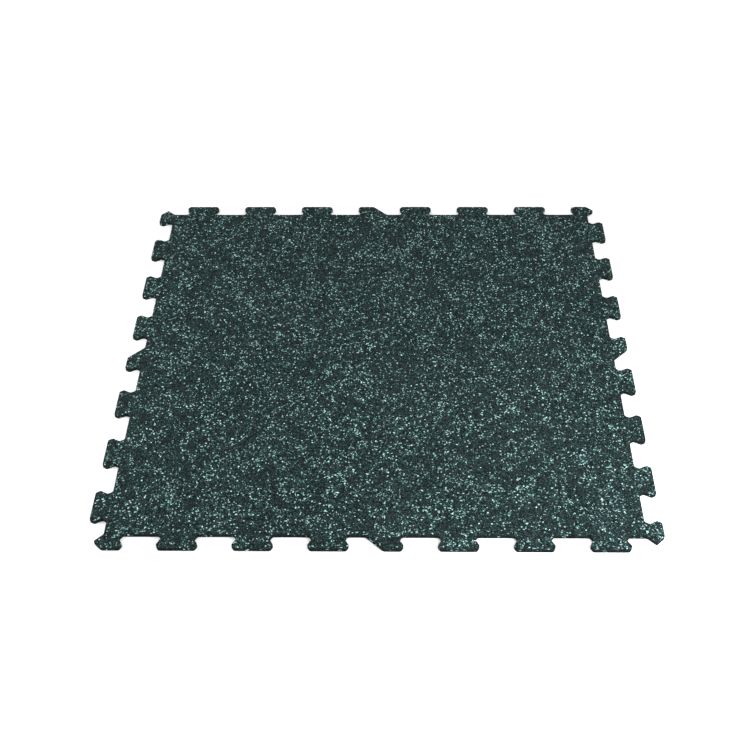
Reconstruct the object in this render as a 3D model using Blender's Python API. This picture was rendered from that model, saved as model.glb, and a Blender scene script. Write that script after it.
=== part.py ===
"""Interlocking gym floor tile: one square slab of bonded rubber crumb with a puzzle edge.

Metres, +Z up. The origin is the centre of the underside, and the tile lies flat on z = 0.
Each side of the square module carries the same run of dovetail tabs and slots, half of it
outside the module line and half inside. A side read from its far end, turned over, is the same
run again, so any side of one tile locks into any side of the next.
"""
import math

import bmesh
import bpy
from mathutils import Matrix, Vector

# Driving dimensions
MODULE = 1.000            # floor that one laid tile covers, along each side
THICKNESS = 0.008
TAB_DEPTH = 0.0315        # from a slot's bottom to a tab's end
KEY_WIDTH = 0.0485        # the half tabs at the middle and at the corner, at mid depth
TABS_PER_HALF = 3         # whole tabs between the corner and the middle of a side
LOCK = 0.0039             # how far a tab's head and a slot's foot stand out past mid depth
LOCK_RISE = 0.0070        # how far that widest point lies from mid depth
EASE = 0.0013             # how far the tab's end is narrower than its mid depth
CUT_GAP = 0.0002          # what the cutting jet takes from each side of the joint line
CORNER_SETBACK = 0.0020   # how far back from each corner of the outline its rounding starts
CORNER_SEGMENTS = 2

# Worked out from them
HALF_DEPTH = TAB_DEPTH / 2
PITCH = (MODULE / 2 - 2 * KEY_WIDTH) / TABS_PER_HALF
TAB_WIDTH = PITCH / 2
SIDES = 4

RUBBER_COLOUR = (0.024, 0.040, 0.038, 1.0)
RUBBER_ROUGHNESS = 0.85


def clear_scene():
    for item in list(bpy.data.objects):
        bpy.data.objects.remove(item, do_unlink=True)


def tab_flank(place, rising):
    """The zigzag that locks a tab: from slot bottom to tab end, or back down."""
    flank = [
        (place - EASE, -HALF_DEPTH),
        (place + LOCK, -LOCK_RISE),
        (place - LOCK, LOCK_RISE),
        (place + EASE, HALF_DEPTH),
    ]
    if rising:
        return flank
    return [(2 * place - along, out) for along, out in reversed(flank)]


def tab(start):
    return tab_flank(start, True) + tab_flank(start + TAB_WIDTH, False)


def side_profile():
    """One side of the module, clockwise: distance along it, and distance out of its line."""
    middle = MODULE / 2
    points = [(HALF_DEPTH, -HALF_DEPTH)]
    for number in range(TABS_PER_HALF):
        points += tab(KEY_WIDTH + number * PITCH)
    points += tab_flank(middle - KEY_WIDTH, True)
    points += [(middle - HALF_DEPTH, HALF_DEPTH), (middle + HALF_DEPTH, -HALF_DEPTH)]
    for number in range(TABS_PER_HALF):
        points += tab(middle + KEY_WIDTH + number * PITCH)
    points += tab_flank(MODULE - KEY_WIDTH, True)
    points += [(MODULE - HALF_DEPTH, HALF_DEPTH), (MODULE, 0.0)]
    return points


def joint_line():
    """The whole outline on the line where two tiles meet, with no gap yet."""
    points = []
    for number in range(SIDES):
        turn = Matrix.Rotation(-number * math.tau / SIDES, 2)
        for along, out in side_profile():
            points.append(turn @ Vector((along - MODULE / 2, MODULE / 2 + out)))
    return points


def pulled_in(points, gap):
    """The same outline with every edge moved inwards by the gap; the run is clockwise."""
    moved = []
    count = len(points)
    for index, point in enumerate(points):
        before = (point - points[index - 1]).normalized()
        after = (points[(index + 1) % count] - point).normalized()
        inward_before = Vector((before.y, -before.x))
        inward_after = Vector((after.y, -after.x))
        mitre = (inward_before + inward_after).normalized()
        moved.append(point + mitre * gap / mitre.dot(inward_before))
    return moved


def tile_mesh():
    model = bmesh.new()
    outline = pulled_in(joint_line(), CUT_GAP)
    corners = [model.verts.new((point.x, point.y, 0.0)) for point in reversed(outline)]
    underside = model.faces.new(corners)
    bmesh.ops.bevel(
        model, geom=list(model.verts), affect="VERTICES", offset_type="OFFSET",
        offset=CORNER_SETBACK, segments=CORNER_SEGMENTS, profile=0.5, material=-1,
    )
    raised = bmesh.ops.extrude_face_region(model, geom=list(model.faces))
    lifted = [item for item in raised["geom"] if isinstance(item, bmesh.types.BMVert)]
    bmesh.ops.translate(model, verts=lifted, vec=(0.0, 0.0, THICKNESS))
    bmesh.ops.recalc_face_normals(model, faces=list(model.faces))
    mesh = bpy.data.meshes.new("rubber_tile")
    model.to_mesh(mesh)
    model.free()
    return mesh


def rubber():
    material = bpy.data.materials.new("flecked_rubber")
    material.use_nodes = True
    shader = material.node_tree.nodes["Principled BSDF"]
    shader.inputs["Base Color"].default_value = RUBBER_COLOUR
    shader.inputs["Roughness"].default_value = RUBBER_ROUGHNESS
    shader.inputs["Metallic"].default_value = 0.0
    return material


def rubber_tile():
    tile = bpy.data.objects.new("rubber_tile", tile_mesh())
    tile.data.materials.append(rubber())
    bpy.context.scene.collection.objects.link(tile)
    return tile


clear_scene()
rubber_tile()
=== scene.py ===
"""The looks of the interlocking gym floor tile.

A slab of bonded black rubber crumb, with its cut edges rounded over and a little rough, and the
green, grey and black granules that are bedded in its two faces and its edges. It lies on a plain
pale floor.
"""
import math

import bmesh
import bpy
import numpy as np
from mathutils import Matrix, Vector, noise
from mathutils.bvhtree import BVHTree


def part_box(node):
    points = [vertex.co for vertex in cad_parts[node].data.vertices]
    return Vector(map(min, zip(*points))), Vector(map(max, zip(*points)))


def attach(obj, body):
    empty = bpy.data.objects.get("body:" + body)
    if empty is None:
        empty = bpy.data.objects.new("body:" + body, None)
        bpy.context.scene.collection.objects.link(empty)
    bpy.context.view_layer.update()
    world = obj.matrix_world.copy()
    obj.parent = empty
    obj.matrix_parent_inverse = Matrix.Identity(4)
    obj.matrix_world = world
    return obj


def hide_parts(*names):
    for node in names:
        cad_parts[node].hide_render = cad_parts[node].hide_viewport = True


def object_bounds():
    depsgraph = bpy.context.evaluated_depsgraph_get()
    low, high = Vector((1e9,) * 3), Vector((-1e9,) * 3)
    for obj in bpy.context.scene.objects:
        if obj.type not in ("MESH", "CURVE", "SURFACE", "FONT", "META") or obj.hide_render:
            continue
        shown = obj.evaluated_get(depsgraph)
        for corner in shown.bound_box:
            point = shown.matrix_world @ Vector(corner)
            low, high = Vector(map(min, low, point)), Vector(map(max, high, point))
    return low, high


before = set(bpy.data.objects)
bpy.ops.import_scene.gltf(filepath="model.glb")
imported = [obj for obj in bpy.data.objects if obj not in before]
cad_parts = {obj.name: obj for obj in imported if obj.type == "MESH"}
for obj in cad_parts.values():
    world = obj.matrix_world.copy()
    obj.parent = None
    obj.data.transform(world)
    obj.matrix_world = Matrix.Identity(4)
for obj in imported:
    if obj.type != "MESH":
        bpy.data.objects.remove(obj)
cad_box = [list(corner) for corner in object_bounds()]

# Camera, from the outline of the tile in the photograph
CAMERA_PLACE = (0.03859, -1.90973, 1.73099)
CAMERA_TURN = (0.81826, 0.00980, 0.01331)
CAMERA_LENS = 59.67
CAMERA_SENSOR = 36.0

# The slab
UNDERSIDE, TOP = (corner.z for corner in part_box("rubber_tile"))
THICKNESS = TOP - UNDERSIDE
SAME_PLACE = 1e-6         # points closer than this are one point
LEVEL = 0.5               # a flat face's normal is more upright than this, and a wall's is less
BEDDING = 0.00010         # how far the crumb lies behind the granules' highest faces
EDGE_ROUND = 0.0005       # the cut arris, softened by handling
EDGE_STEPS = 3
WALL_STEP = 0.0026        # length of a wall's facets along the cut
WALL_ROWS = 4
FIELD_STEP = 0.0125       # the mesh across the flat faces
FIELD_SNAP = 0.0004       # a corner this close to a line of that mesh is used for it
FLAT_JOIN = math.radians(1.0)     # faces that meet flatter than this are one face
SHARP_ARRIS = math.radians(28.0)  # edges sharper than this aren't shaded over
WAVE_LENGTH = 0.14
WAVE_HEIGHT = 0.00012
CUT_GRAINS = ((0.0022, 0.00012), (0.0075, 0.00010))   # size and depth of the cut's roughness

# The granules
SITE_PITCH = 0.0029       # between the rows of places where a granule may lie
SITE_JITTER = 0.45        # how far a place strays from its row, against the pitch
CUT_SHARE = 0.45          # on the cut edges, against the faces: fewer, as painted shade that keeps the edges darker
GRANULE_SINK = 0.8        # depth of a granule against its width
GRANULE_TILT = 0.035      # how steeply its top slopes
GRANULE_LIFT = (0.35, 1.0)  # how high its top lies, against the depth of the crumb behind it
RIM_REACH = 0.5           # how near the arris its middle may lie, in half widths
TRIM_REACH = 1.4          # nearer the arris than this, in half lengths, the cut may trim it
CORNER_REACH = (0.72, 1.22)  # its corners, and how far they and its tip stray, in half widths
CORNER_STRAY = 0.16
TIP_STRAY = 0.30
CLUMPS = ((0.014, 1.2), (0.045, 0.8))   # size and strength of thick and thin places
UNDER_CLUMPS = -1.0       # where the underside reads its clumps, so that they aren't the top's
GRANULE_KINDS = (
    # share, half width from and to, length against width from and to
    (0.58, 0.00095, 0.00175, 1.0, 1.6),
    (0.18, 0.00060, 0.00095, 2.6, 4.6),
    (0.24, 0.00050, 0.00090, 1.0, 1.6),
)
GRANULE_SIDES = (4, 5, 5, 6)
SHAPES_PER_SIDE_COUNT = 4
SEED = 11
SHADES = {
    # share of the sites, colour
    "pale_mint": (0.050, (0.380, 0.615, 0.585)),
    "mint": (0.052, (0.203, 0.389, 0.372)),
    "sea_green": (0.038, (0.080, 0.207, 0.197)),
    "deep_green": (0.020, (0.033, 0.095, 0.093)),
    "chalk_grey": (0.012, (0.285, 0.406, 0.393)),
    "charcoal": (0.060, (0.030, 0.046, 0.047)),
    "soot": (0.055, (0.004, 0.007, 0.0075)),
}
GRANULE_SHARE = sum(share for share, colour in SHADES.values())

# The finish of the crumb
CRUMB_DARK = (0.0030, 0.0060, 0.0063, 1.0)
CRUMB_GREY = (0.0325, 0.0560, 0.0575, 1.0)
SPECK_COLOUR = (0.121, 0.260, 0.234, 1.0)
CRUMB_ROUGHNESS = (0.70, 0.92)
SWIRLS = 0.8              # swirls that bend the pattern, in the length of one granule
BOND_PATCHES = 0.7        # patches of tighter and looser bond, in the same length
BOND_NOISE = (0.36, 0.64)  # the noise where the bond is tightest and loosest
SEAM_WIDTHS = (0.08, 1.9)  # and the width of the seams there, against their gap
LOW_GRANULE = 0.4         # height of the lowest granule against the highest
FINE_SHADE = 0.35         # how dark the darkest fine granule is against the coarse one around it
FINE_RELIEF = 0.35        # how high the fine granules stand against the coarse ones
SEAM_PAINTED_SHADE = 0.50         # painted shade in the open seams between coarse and between fine granules: how dark they are
FINE_SEAM_PAINTED_SHADE = 0.75
CUT_EDGE_PAINTED_SHADE = 0.70           # painted shade on the upright cut edges: how dark they are against the faces
ARRIS_BLEND = (0.3, 0.8)  # how upright the surface is where cut edge turns to face

# The pores, in cells of one pore each
PORE_WARP = 0.45          # how far they are bent out of round, against the cell
PORE_RADII = (0.08, 0.24)
PORE_FLOOR = 0.5          # how wide the floor is against the mouth
PORE_PAINTED_SHADE = 0.25         # painted shade in it: how dark it is against the crumb
PORE_DEPTH = 1.5          # how deep it is against the height of the granules

# The finish of the granules
GRANULE_ROUGHNESS = (0.62, 0.85)
GRANULE_TONES = (0.60, 1.25)   # their brightness, against their colour
GRAIN_TONES = (0.80, 1.08)     # and that of the grains within one

# The dust
DUST_COLOUR = (0.26, 0.27, 0.26, 1.0)
DUST_PATCHES = (0.35, 0.70)    # the noise where a patch starts and where it is thickest
DUST_SPOTS = (0.40, 0.75)      # and the same for the spots within it
DUST_SPOT_SCALE = 260.0
DUST_BETWEEN = 0.25            # dust between the patches, against what they add to it

# The room
ROOM_LIGHT = (1.0, 1.0, 1.0, 1.0)
FLOOR_COLOUR = (1.0, 1.0, 1.0, 1.0)
FLOOR_REACH = 12.0


# Node building

def add(tree, kind, inputs=None, **settings):
    """A shader node with its settings, and its inputs linked or set."""
    made = tree.nodes.new("ShaderNode" + kind)
    for name, value in settings.items():
        setattr(made, name, value)
    for name, value in (inputs or {}).items():
        if isinstance(value, bpy.types.NodeSocket):
            tree.links.new(value, made.inputs[name])
        else:
            made.inputs[name].default_value = value
    return made


def maths(tree, operation, first, second=0.0):
    return add(tree, "Math", {0: first, 1: second}, operation=operation).outputs[0]


def product(tree, first, *others):
    for other in others:
        first = maths(tree, "MULTIPLY", first, other)
    return first


def between(tree, value, low, high, to_low=0.0, to_high=1.0):
    """The value eased from one range onto another, and held at its ends."""
    ranges = {"Value": value, "From Min": low, "From Max": high, "To Min": to_low, "To Max": to_high}
    return add(tree, "MapRange", ranges, interpolation_type="SMOOTHSTEP").outputs["Result"]


def spread(tree, mask, at_none, at_full):
    return between(tree, mask, 0.0, 1.0, at_none, at_full)


def blend(tree, share, first, second):
    return add(tree, "Mix", {0: share, 6: first, 7: second}, data_type="RGBA").outputs[2]


def darkened(tree, colour, factor):
    return add(tree, "VectorMath", {0: colour, "Scale": factor}, operation="SCALE").outputs[0]


def new_group(name, inputs, outputs):
    tree = bpy.data.node_groups.new(name, "ShaderNodeTree")
    for label, value in inputs.items():
        socket = tree.interface.new_socket(name=label, in_out="INPUT", socket_type="NodeSocketFloat")
        socket.default_value = value
    for label in outputs:
        tree.interface.new_socket(name=label, in_out="OUTPUT", socket_type="NodeSocketFloat")
    return tree, tree.nodes.new("NodeGroupInput").outputs, tree.nodes.new("NodeGroupOutput").inputs


def use(tree, group, **inputs):
    placed = tree.nodes.new("ShaderNodeGroup")
    placed.node_tree = group
    for name, value in inputs.items():
        placed.inputs[name].default_value = value
    return placed.outputs


def warped_place(tree, size, warp):
    """Object coordinates, pushed about so that the granules lose their straight sides."""
    place = add(tree, "TexCoord").outputs["Object"]
    scale = maths(tree, "DIVIDE", SWIRLS, size)
    push = add(tree, "TexNoise", {"Vector": place, "Scale": scale, "Detail": 2.0})
    centred = add(tree, "VectorMath", {0: push.outputs["Color"], 1: (0.5, 0.5, 0.5)}, operation="SUBTRACT")
    shift = add(tree, "VectorMath", {0: centred.outputs[0], "Scale": warp}, operation="SCALE")
    return add(tree, "VectorMath", {0: place, 1: shift.outputs[0]}, operation="ADD").outputs[0]


def cell_numbers(tree, cells):
    """Three random numbers for each cell of a pattern."""
    return add(tree, "SeparateColor", {"Color": cells.outputs["Color"]}).outputs


def crumb_group():
    """Black crumb: granules of many sizes pressed together, each with its own shade and height.

    The seams between them open and close, as some granules are bonded tighter than others.
    """
    tree, given, out = new_group(
        "bonded_crumb", {"Size": 0.002, "Warp": 0.001, "Gap": 0.1}, ("Shade", "Body", "Height"),
    )
    place = warped_place(tree, given["Size"], given["Warp"])
    fine = maths(tree, "DIVIDE", 1.0, given["Size"])
    cells = add(tree, "TexVoronoi", {"Vector": place, "Scale": fine})
    seams = add(tree, "TexVoronoi", {"Vector": place, "Scale": fine}, feature="DISTANCE_TO_EDGE")
    numbers = cell_numbers(tree, cells)
    loose = product(tree, fine, BOND_PATCHES)
    bond = add(tree, "TexNoise", {"Vector": place, "Scale": loose, "Detail": 2.0})
    width = product(tree, given["Gap"], between(tree, bond.outputs["Fac"], *BOND_NOISE, *SEAM_WIDTHS))
    body = between(tree, seams.outputs["Distance"], 0.0, width)
    lift = add(tree, "Math", {0: numbers["Green"], 1: 1.0 - LOW_GRANULE, 2: LOW_GRANULE},
               operation="MULTIPLY_ADD").outputs[0]
    tree.links.new(numbers["Red"], out["Shade"])
    tree.links.new(body, out["Body"])
    tree.links.new(product(tree, body, lift), out["Height"])
    return tree


def speck_group():
    """Crumbs too small to model that are green too: a share of the cells of a finer crumb."""
    tree, given, out = new_group(
        "green_specks", {"Size": 0.001, "Warp": 0.0005, "Share": 0.05}, ("Mask", "Tone"),
    )
    place = warped_place(tree, given["Size"], given["Warp"])
    cells = add(tree, "TexVoronoi", {"Vector": place, "Scale": maths(tree, "DIVIDE", 1.0, given["Size"])})
    numbers = cell_numbers(tree, cells)
    tree.links.new(maths(tree, "LESS_THAN", numbers["Blue"], given["Share"]), out["Mask"])
    tree.links.new(numbers["Green"], out["Tone"])
    return tree


def pore_group():
    """Small open pores, where the crumb didn't quite close up under the press."""
    tree, given, out = new_group("open_pores", {"Size": 0.004, "Share": 0.3}, ("Mask",))
    place = warped_place(tree, given["Size"], product(tree, given["Size"], PORE_WARP))
    cells = add(tree, "TexVoronoi", {"Vector": place, "Scale": maths(tree, "DIVIDE", 1.0, given["Size"])})
    numbers = cell_numbers(tree, cells)
    radius = spread(tree, numbers["Green"], *PORE_RADII)
    solid = between(tree, cells.outputs["Distance"], product(tree, radius, PORE_FLOOR), radius)
    here = maths(tree, "LESS_THAN", numbers["Red"], given["Share"])
    tree.links.new(product(tree, maths(tree, "SUBTRACT", 1.0, solid), here), out["Mask"])
    return tree


def dust_group():
    """Pale dust and bloom that lies in soft patches."""
    tree, given, out = new_group("dust_film", {"Patch": 0.2, "Amount": 0.1}, ("Mask",))
    place = add(tree, "TexCoord").outputs["Object"]
    broad = maths(tree, "DIVIDE", 1.0, given["Patch"])
    wide = add(tree, "TexNoise", {"Vector": place, "Scale": broad, "Detail": 4.0})
    fine = add(tree, "TexNoise", {"Vector": place, "Scale": DUST_SPOT_SCALE, "Detail": 3.0})
    patches = between(tree, wide.outputs["Fac"], *DUST_PATCHES)
    spots = between(tree, fine.outputs["Fac"], *DUST_SPOTS)
    lying = maths(tree, "ADD", patches, DUST_BETWEEN)
    tree.links.new(product(tree, lying, spots, given["Amount"]), out["Mask"])
    return tree


# Materials

def new_material(name, specular):
    material = bpy.data.materials.new(name)
    material.use_nodes = True
    shader = material.node_tree.nodes["Principled BSDF"]
    shader.inputs["Metallic"].default_value = 0.0
    shader.inputs["Specular IOR Level"].default_value = specular
    return material, material.node_tree, shader.inputs


def faces_up_or_down(tree):
    """1 on the two flat faces and 0 on the cut edges, where painted shade darkens the crumb."""
    normal = add(tree, "NewGeometry").outputs["Normal"]
    upright = add(tree, "SeparateXYZ", {"Vector": normal}).outputs["Z"]
    return between(tree, maths(tree, "ABSOLUTE", upright), *ARRIS_BLEND)


def black_crumb(crumb, specks, pores, dust):
    material, tree, shader = new_material("black_crumb", specular=0.04)
    coarse = use(tree, crumb, Size=0.0026, Warp=0.0022, Gap=0.14)
    fine = use(tree, crumb, Size=0.0011, Warp=0.0009, Gap=0.20)
    flecks = use(tree, specks, Size=0.0012, Warp=0.0008, Share=0.07)
    holes = use(tree, pores, Size=0.0045, Share=0.45)
    film = use(tree, dust, Patch=0.22, Amount=0.03)
    level = faces_up_or_down(tree)
    shade = product(tree, coarse["Shade"], spread(tree, fine["Shade"], FINE_SHADE, 1.0))
    black = blend(tree, shade, CRUMB_DARK, CRUMB_GREY)
    # painted shade: the open seams, the pores and the upright cut edges darkened
    painted_shade = product(
        tree,
        # painted shade in the open seams between the granules
        spread(tree, coarse["Body"], SEAM_PAINTED_SHADE, 1.0),
        spread(tree, fine["Body"], FINE_SEAM_PAINTED_SHADE, 1.0),
        # painted shade in the pores
        spread(tree, holes["Mask"], 1.0, PORE_PAINTED_SHADE),
        # painted shade on the upright cut edges
        spread(tree, level, CUT_EDGE_PAINTED_SHADE, 1.0),
    )
    # no green specks on the upright cut edges, which keeps them darker as painted shade
    green_share = product(tree, flecks["Mask"], flecks["Tone"], level)
    green = blend(tree, green_share, darkened(tree, black, painted_shade), SPECK_COLOUR)
    tree.links.new(blend(tree, film["Mask"], green, DUST_COLOUR), shader["Base Color"])
    tree.links.new(spread(tree, coarse["Shade"], *CRUMB_ROUGHNESS), shader["Roughness"])
    grain = maths(tree, "ADD", coarse["Height"], product(tree, fine["Height"], FINE_RELIEF))
    relief = maths(tree, "SUBTRACT", grain, product(tree, holes["Mask"], PORE_DEPTH))
    bump = add(tree, "Bump", {"Strength": 0.6, "Distance": 0.00022, "Height": relief})
    tree.links.new(bump.outputs["Normal"], shader["Normal"])
    return material


def granule_rubber(name, colour, crumb, dust):
    material, tree, shader = new_material(name, specular=0.06)
    grain = use(tree, crumb, Size=0.0007, Warp=0.0005, Gap=0.30)
    film = use(tree, dust, Patch=0.12, Amount=0.08)
    tone = add(tree, "Attribute", attribute_name="tone").outputs["Fac"]
    brightness = product(
        tree,
        spread(tree, tone, *GRANULE_TONES),
        spread(tree, grain["Shade"], *GRAIN_TONES),
    )
    shaded = darkened(tree, colour, brightness)
    tree.links.new(blend(tree, film["Mask"], shaded, DUST_COLOUR), shader["Base Color"])
    tree.links.new(spread(tree, grain["Shade"], *GRANULE_ROUGHNESS), shader["Roughness"])
    bump = add(tree, "Bump", {"Strength": 0.5, "Distance": 0.00008, "Height": grain["Height"]})
    tree.links.new(bump.outputs["Normal"], shader["Normal"])
    return material


def pale_floor():
    material, _, shader = new_material("pale_floor", specular=0.0)
    shader["Base Color"].default_value = FLOOR_COLOUR
    shader["Roughness"].default_value = 1.0
    return material


# The slab

def finished(name, model, material):
    mesh = bpy.data.meshes.new(name)
    model.to_mesh(mesh)
    model.free()
    piece = bpy.data.objects.new(name, mesh)
    bpy.context.scene.collection.objects.link(piece)
    mesh.materials.append(material)
    return piece


def tile_outline():
    """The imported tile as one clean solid: two flat faces and the walls between them."""
    model = bmesh.new()
    model.from_mesh(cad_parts["rubber_tile"].data)
    bmesh.ops.remove_doubles(model, verts=model.verts[:], dist=SAME_PLACE)
    bmesh.ops.dissolve_limit(model, angle_limit=FLAT_JOIN, verts=model.verts[:], edges=model.edges[:])
    return model


def is_level(face):
    return abs(face.normal.z) > LEVEL


def slow_wave(x, y):
    """The sheet never lies quite flat; the underside, which rests on the floor, stays level."""
    return noise.noise(Vector((x, y, 0.0)) / WAVE_LENGTH) * WAVE_HEIGHT


def cut_depth(place):
    return sum(noise.noise(place / size) * depth for size, depth in CUT_GRAINS)


def round_over(depth):
    """How far a wall stands back at this depth under a face."""
    if depth >= EDGE_ROUND:
        return 0.0
    return EDGE_ROUND - math.sqrt(EDGE_ROUND ** 2 - (EDGE_ROUND - depth) ** 2)


def cut_walls(model):
    """Facets along every wall, then level rows, close together where the edge rounds over."""
    lengths = {}
    for edge in model.edges:
        if any(is_level(face) for face in edge.link_faces):
            cuts = max(0, round(edge.calc_length() / WALL_STEP) - 1)
            lengths.setdefault(cuts, []).append(edge)
    lengths.pop(0, None)
    for cuts, edges in lengths.items():
        bmesh.ops.subdivide_edges(model, edges=edges, cuts=cuts, use_grid_fill=True)
    turns = [math.pi / 2 * (step + 1) / EDGE_STEPS for step in range(EDGE_STEPS)]
    rounded = [EDGE_ROUND * (1 - math.cos(turn)) for turn in turns]
    core = np.linspace(EDGE_ROUND, THICKNESS - EDGE_ROUND, WALL_ROWS + 1)[1:-1]
    for depth in [*rounded, *core, *(THICKNESS - step for step in rounded)]:
        level = Vector((0.0, 0.0, UNDERSIDE + depth))
        everything = [*model.verts, *model.edges, *model.faces]
        bmesh.ops.bisect_plane(model, geom=everything, dist=SAME_PLACE,
                               plane_co=level, plane_no=(0.0, 0.0, 1.0))


def cut_field(model):
    """A plain grid across the two flat faces."""
    outermost = math.floor(max(vert.co.x for vert in model.verts) / FIELD_STEP)
    lines = np.arange(-outermost, outermost + 1) * FIELD_STEP
    for way in ((1.0, 0.0, 0.0), (0.0, 1.0, 0.0)):
        for line in lines:
            level = [face for face in model.faces if is_level(face)]
            edges = {edge for face in level for edge in face.edges}
            verts = {vert for face in level for vert in face.verts}
            bmesh.ops.bisect_plane(model, geom=[*verts, *edges, *level], dist=FIELD_SNAP,
                                   plane_co=Vector(way) * line, plane_no=way)


def worn_by(vert):
    """How far a point of the sharp, level slab moves to where the real surface lies."""
    height = vert.co.z - UNDERSIDE
    depth = min(height, THICKNESS - height)
    move = Vector((0.0, 0.0, slow_wave(vert.co.x, vert.co.y) * height / THICKNESS))
    walls = [face.normal for face in vert.link_faces if not is_level(face)]
    if walls:
        outward = sum(walls, Vector()).normalized()
        move += outward * (cut_depth(vert.co) - round_over(depth))
    if depth < SAME_PLACE:
        move.z += BEDDING if height < THICKNESS / 2 else -BEDDING
    return move


def crumb_slab(material):
    model = tile_outline()
    cut_walls(model)
    cut_field(model)
    model.normal_update()
    moves = [worn_by(vert) for vert in model.verts]
    for vert, move in zip(model.verts, moves):
        vert.co += move
    bmesh.ops.dissolve_degenerate(model, dist=SAME_PLACE, edges=model.edges[:])
    bmesh.ops.recalc_face_normals(model, faces=model.faces[:])
    slab = finished("crumb_slab", model, material)
    slab.data.shade_smooth()
    slab.data.set_sharp_from_angle(angle=SHARP_ARRIS)
    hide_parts("rubber_tile")
    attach(slab, "root")


# The granules

def granule_shape(sides, rng):
    """A crumb cut flat at the surface: a crooked polygon that tapers to a point below it."""
    model = bmesh.new()
    bmesh.ops.create_cone(model, cap_ends=True, segments=sides, radius1=0.0, radius2=1.0, depth=1.0)
    bmesh.ops.remove_doubles(model, verts=model.verts[:], dist=SAME_PLACE)
    # The cone is one deep and centred, so this brings its wide end level with the surface
    bmesh.ops.translate(model, verts=model.verts[:], vec=(0.0, 0.0, -0.5))
    for vert in model.verts:
        if vert.co.z > -0.5:
            vert.co.xy *= rng.uniform(*CORNER_REACH)
            vert.co.x += rng.uniform(-CORNER_STRAY, CORNER_STRAY)
            vert.co.y += rng.uniform(-CORNER_STRAY, CORNER_STRAY)
        else:
            vert.co.xy = rng.uniform(-TIP_STRAY, TIP_STRAY, 2)
    bmesh.ops.recalc_face_normals(model, faces=model.faces[:])
    model.verts.index_update()
    corners = np.array([vert.co[:] for vert in model.verts])
    faces = [[vert.index for vert in face.verts] for face in model.faces]
    model.free()
    return corners, faces


def granule_sizes(count, rng):
    """Half width and half length of each granule."""
    kind = rng.choice(len(GRANULE_KINDS), count, p=[row[0] for row in GRANULE_KINDS])
    table = np.array(GRANULE_KINDS)[kind]
    width = table[:, 1] + (table[:, 2] - table[:, 1]) * rng.random(count)
    return width, width * (table[:, 3] + (table[:, 4] - table[:, 3]) * rng.random(count))


def wall_tree(model):
    """The cut edges alone, for how far a place lies from them."""
    walls = model.copy()
    flat = [face for face in walls.faces if is_level(face)]
    bmesh.ops.delete(walls, geom=flat, context="FACES")
    tree = BVHTree.FromBMesh(walls)
    walls.free()
    return tree


def crowding(place):
    """How thick the granules lie here, against their mean."""
    return 1.0 + sum(noise.noise(place / size) * strength for size, strength in CLUMPS)


def clear_of_edge(place, walls, reach):
    """The place, moved in where it lies closer to the nearest wall than this, or past it."""
    wall, outward = walls.find_nearest(place)[:2]
    if (place - wall).dot(outward) < -reach:
        return place
    moved = wall - outward * reach
    moved.z = place.z
    return moved


def face_sites(outline, walls, upward, rng):
    """Places on one flat face, in rough rows, and which of them lie where the cut trims them."""
    far = cad_box[1][0]
    middle = (TOP + UNDERSIDE) / 2
    clumps = TOP if upward else UNDER_CLUMPS
    rows = np.arange(-far, far, SITE_PITCH)
    places = []
    for row in rows:
        for column in rows:
            shift = rng.uniform(-SITE_JITTER, SITE_JITTER, 2) * SITE_PITCH
            chance = rng.random()
            place = Vector((row + shift[0], column + shift[1], middle))
            if chance > GRANULE_SHARE * crowding(Vector((place.x, place.y, clumps))):
                continue
            if outline.ray_cast(place, Vector((0.0, 0.0, 1.0)))[0] is not None:
                places.append(place)
    width, length = granule_sizes(len(places), rng)
    cut = np.zeros(len(places), bool)
    for number, place in enumerate(places):
        cut[number] = walls.find_nearest(place)[3] < length[number] * TRIM_REACH + EDGE_ROUND
        place = clear_of_edge(place, walls, width[number] * RIM_REACH + EDGE_ROUND)
        place.z = TOP + slow_wave(place.x, place.y) if upward else UNDERSIDE
        places[number] = place
    way = 1.0 if upward else -1.0
    frames = np.broadcast_to(np.diag((1.0, way, way)), (len(places), 3, 3))
    return np.array(places), frames, width, length, cut


def wall_sites(model, rng):
    """Places on the cut edges, counted by their area as on the flat faces."""
    places, frames, widths, lengths = [], [], [], []
    up = Vector((0.0, 0.0, 1.0))
    for face in model.faces:
        if is_level(face):
            continue
        along = up.cross(face.normal).normalized()
        run = max(abs((a.co - b.co).dot(along)) for a in face.verts for b in face.verts)
        # fewer granules on the cut edges: painted shade
        count = rng.poisson(face.calc_area() / SITE_PITCH ** 2 * (GRANULE_SHARE * CUT_SHARE))
        width, length = granule_sizes(count, rng)
        for number in range(count):
            spare = run / 2 - length[number]
            if spare <= 0:
                continue
            rise = THICKNESS / 2 - EDGE_ROUND - width[number]
            place = face.calc_center_median() + along * rng.uniform(-spare, spare)
            place += up * rng.uniform(-rise, rise)
            places.append(place + face.normal * (cut_depth(place) + BEDDING))
            frames.append(np.array((along, up, face.normal)).T)
            widths.append(width[number])
            lengths.append(length[number])
    uncut = np.zeros(len(places), bool)
    return np.array(places), np.array(frames), np.array(widths), np.array(lengths), uncut


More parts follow.
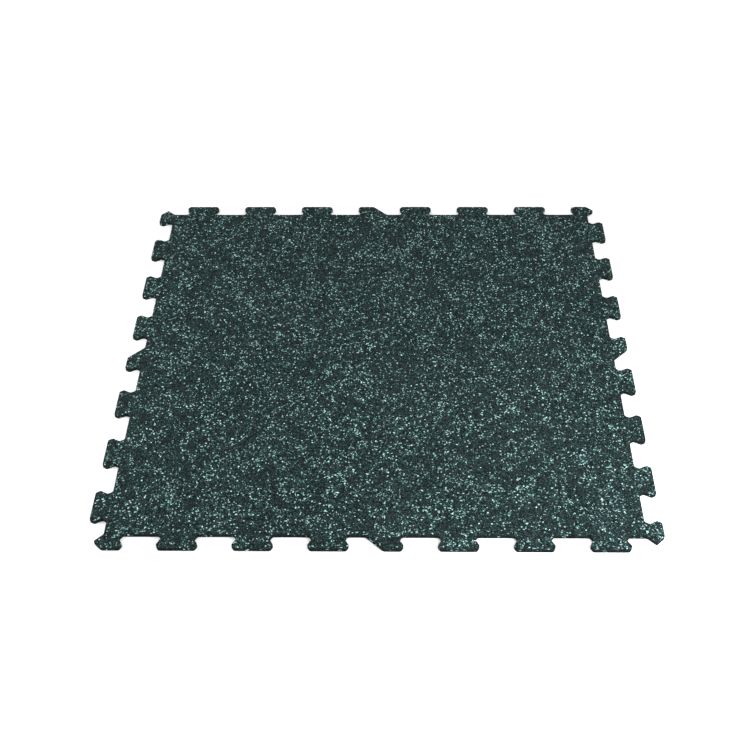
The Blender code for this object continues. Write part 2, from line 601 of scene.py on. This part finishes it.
def bedded(sites, shapes, walls, rng, along_cut=False):
    """Corners, faces and tones of the granules at some sites, by shade.

    On a flat face they lie every way, and on a cut edge along it.
    """
    places, frames, width, length, cut = sites
    count = len(places)
    shares = np.array([share for share, colour in SHADES.values()])
    shade = rng.choice(len(SHADES), count, p=shares / shares.sum())
    shape = rng.integers(len(shapes), size=count)
    turn = np.zeros(count) if along_cut else rng.uniform(0.0, math.tau, count)
    slope = rng.normal(0.0, GRANULE_TILT, (count, 2))
    lift = rng.uniform(*GRANULE_LIFT, count) * BEDDING
    tone = rng.random(count)
    made = {name: [] for name in SHADES}
    for number, (corners, faces) in enumerate(shapes):
        for index, name in enumerate(SHADES):
            chosen = np.flatnonzero((shape == number) & (shade == index))
            long, wide = length[chosen, None], width[chosen, None]
            x, y = corners[:, 0] * long, corners[:, 1] * wide
            z = corners[:, 2] * wide * GRANULE_SINK + x * slope[chosen, :1] + y * slope[chosen, 1:]
            z = np.minimum(z, 0.0) + lift[chosen, None] - BEDDING
            cos, sin = np.cos(turn[chosen])[:, None], np.sin(turn[chosen])[:, None]
            local = np.stack((x * cos - y * sin, x * sin + y * cos, z), axis=2)
            world = places[chosen, None] + np.einsum("nij,nkj->nki", frames[chosen], local)
            for row in np.flatnonzero(cut[chosen]):
                world[row] = [clear_of_edge(Vector(corner), walls, EDGE_ROUND) for corner in world[row]]
            made[name].append((world, faces, tone[chosen]))
    return made


def granules(name, parts, material):
    """One joined piece from the corners and faces of many granules."""
    corners, faces, tones, start = [], [], [], 0
    for world, shape, tone in parts:
        each = world.shape[1]
        corners.append(world.reshape(-1, 3))
        tones.append(np.repeat(tone, each))
        for first in range(start, start + each * len(world), each):
            faces += [[first + corner for corner in face] for face in shape]
        start += each * len(world)
    mesh = bpy.data.meshes.new(name)
    mesh.from_pydata(np.concatenate(corners).tolist(), [], faces)
    tone_of = mesh.attributes.new("tone", "FLOAT", "POINT")
    tone_of.data.foreach_set("value", np.concatenate(tones).astype(np.float32))
    mesh.materials.append(material)
    piece = bpy.data.objects.new(name, mesh)
    bpy.context.scene.collection.objects.link(piece)
    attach(piece, "root")


def all_granules(crumb, dust):
    rng = np.random.default_rng(SEED)
    model = tile_outline()
    outline = BVHTree.FromBMesh(model)
    walls = wall_tree(model)
    shapes = [granule_shape(sides, rng) for sides in GRANULE_SIDES for _ in range(SHAPES_PER_SIDE_COUNT)]
    groups = [
        bedded(face_sites(outline, walls, True, rng), shapes, walls, rng),
        bedded(face_sites(outline, walls, False, rng), shapes, walls, rng),
        bedded(wall_sites(model, rng), shapes, walls, rng, along_cut=True),
    ]
    model.free()
    for name, (_, colour) in SHADES.items():
        parts = [part for group in groups for part in group[name]]
        granules(name + "_granules", parts, granule_rubber(name, colour, crumb, dust))


# The stage

def soft_light(name, place, size, power):
    """A square lamp that shines at the middle of the tile."""
    lamp = bpy.data.lights.new(name, "AREA")
    lamp.shape = "SQUARE"
    lamp.size = size
    lamp.energy = power
    light = bpy.data.objects.new(name, lamp)
    light.location = place
    light.rotation_euler = (-Vector(place)).to_track_quat("-Z", "Y").to_euler()
    light.visible_camera = False
    bpy.context.scene.collection.objects.link(light)


def stage():
    model = bmesh.new()
    bmesh.ops.create_grid(model, x_segments=1, y_segments=1, size=FLOOR_REACH)
    floor = finished("floor", model, pale_floor())
    soft_light("key", place=(0.80, -0.78, 0.62), size=0.7, power=13.3)
    soft_light("fill", place=(-1.15, -0.30, 0.75), size=0.7, power=5.5)
    world = bpy.data.worlds.new("studio")
    world.use_nodes = True
    world.node_tree.nodes["Background"].inputs["Color"].default_value = ROOM_LIGHT
    world.node_tree.nodes["Background"].inputs["Strength"].default_value = 1.0
    bpy.context.scene.world = world
    bpy.context.scene.view_settings.view_transform = "Standard"


def camera():
    lens = bpy.data.cameras.new("camera")
    lens.lens = CAMERA_LENS
    lens.sensor_width = CAMERA_SENSOR
    seer = bpy.data.objects.new("camera", lens)
    seer.location = CAMERA_PLACE
    seer.rotation_euler = CAMERA_TURN
    bpy.context.scene.collection.objects.link(seer)
    bpy.context.scene.camera = seer


camera()
stage()
crumb = crumb_group()
dust = dust_group()
crumb_slab(black_crumb(crumb, speck_group(), pore_group(), dust))
all_granules(crumb, dust)
